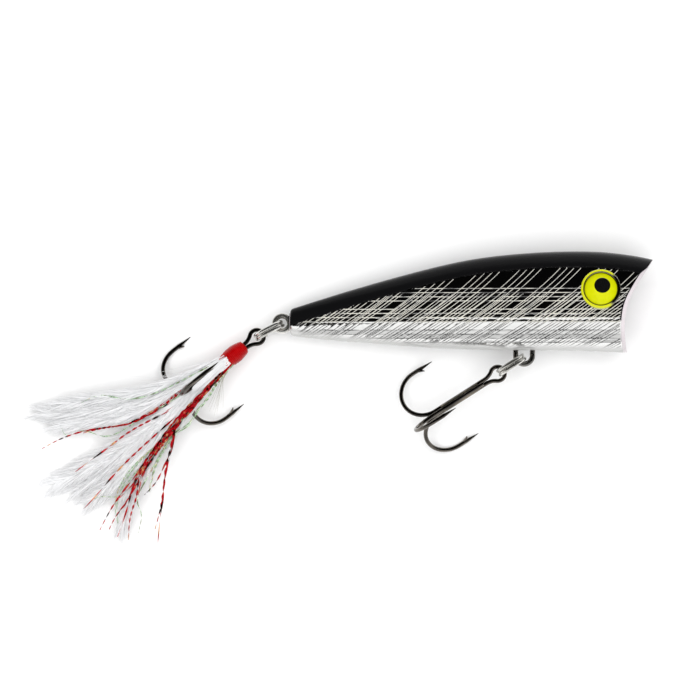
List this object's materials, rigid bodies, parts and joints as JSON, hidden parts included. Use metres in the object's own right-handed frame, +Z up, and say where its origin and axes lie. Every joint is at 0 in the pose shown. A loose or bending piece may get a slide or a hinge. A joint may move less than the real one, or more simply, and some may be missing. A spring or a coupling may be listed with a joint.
{
  "type": "topwater popper fishing lure",
  "caption": "Topwater popper lure with a hollow tapered body, concave mouth, raised eyes, belly treble and feather-dressed tail treble on split rings.",
  "frame": {"origin": "middle of the lure's footprint on the surface that it lies on, at the surface's height", "axes": "+X from the tail towards the nose, +Y towards the lure's back, +Z up from the surface; the lure lies on its left flank"},
  "size_m": [0.1109, 0.052, 0.0157],
  "materials": {
    "plated_body": "vacuum-plated silver flanks under a satin black back",
    "eye_yellow": "gloss lemon yellow with a black pupil",
    "bright_wire": "bright nickel plate",
    "dark_wire": "dull steel wire",
    "ballast_steel": "plain steel",
    "black_nickel": "black nickel plate",
    "braze": "braze under black nickel",
    "red_thread": "lacquered thread",
    "white_hackle": "soft feather",
    "red_tinsel": "metallic film strands",
    "pearl_tinsel": "pearlescent film strands",
    "pale_fibre": "fine pale fibre"
  },
  "bodies": {
    "lure_body": {"right_body_half": "plated_body", "left_body_half": "plated_body", "right_eye": "eye_yellow", "left_eye": "eye_yellow", "tail_eye": "bright_wire", "line_tie": "bright_wire", "belly_hanger": "dark_wire", "tail_ballast": "ballast_steel"},
    "rattle_ball_1": {"rattle_ball_1": "ballast_steel"},
    "rattle_ball_2": {"rattle_ball_2": "ballast_steel"},
    "rattle_ball_3": {"rattle_ball_3": "ballast_steel"},
    "belly_ring": {"belly_split_ring": "bright_wire"},
    "belly_hook": {"belly_hook_double": "black_nickel", "belly_hook_single": "black_nickel", "belly_hook_braze": "braze"},
    "tail_ring": {"tail_split_ring": "bright_wire"},
    "tail_hook": {"tail_hook_double": "black_nickel", "tail_hook_single": "black_nickel", "tail_hook_braze": "braze", "thread_wrap": "red_thread", "hackle_top": "white_hackle", "hackle_upper": "white_hackle", "red_tinsel_upper": "red_tinsel", "hackle_middle": "white_hackle", "hackle_lower": "white_hackle", "pearl_tinsel": "pearl_tinsel", "hackle_bottom": "white_hackle", "red_tinsel_lower": "red_tinsel", "collar_fibres": "pale_fibre"}
  },
  "joints": [
    {"name": "belly_ring_swing", "type": "hinge", "parent": "lure_body", "child": "belly_ring", "pos_m": [0.03274, 0.00758, 0.00685], "axis": [-0.075, 0, 0.9972], "range_deg": [-5, 118]},
    {"name": "belly_hook_swing", "type": "hinge", "parent": "belly_ring", "child": "belly_hook", "pos_m": [0.03056, 0.00616, 0.00669], "axis": [-0.5431, 0.8387, -0.0408], "range_deg": [-70, 70]},
    {"name": "tail_ring_swing", "type": "hinge", "parent": "lure_body", "child": "tail_ring", "pos_m": [-0.00994, 0.0135, 0.00364], "axis": [-0.075, 0, 0.9972], "range_deg": [-105, 75]},
    {"name": "tail_hook_swing", "type": "hinge", "parent": "tail_ring", "child": "tail_hook", "pos_m": [-0.01223, 0.01225, 0.00347], "axis": [-0.4758, 0.8788, -0.0358], "range_deg": [-75, 75]},
    {"name": "rattle_ball_1_roll", "type": "slide", "parent": "lure_body", "child": "rattle_ball_1", "axis": [0.9972, 0, 0.075], "range_m": [0, 0.006]},
    {"name": "rattle_ball_2_roll", "type": "slide", "parent": "lure_body", "child": "rattle_ball_2", "axis": [0.9972, 0, 0.075], "range_m": [0, 0.006]},
    {"name": "rattle_ball_3_roll", "type": "slide", "parent": "lure_body", "child": "rattle_ball_3", "axis": [0.9972, 0, 0.075], "range_m": [0, 0.006]}
  ],
  "couplings": [
    {"joint": "rattle_ball_2_roll", "follows": "rattle_ball_1_roll", "ratio": 1},
    {"joint": "rattle_ball_3_roll", "follows": "rattle_ball_1_roll", "ratio": 1}
  ]
}
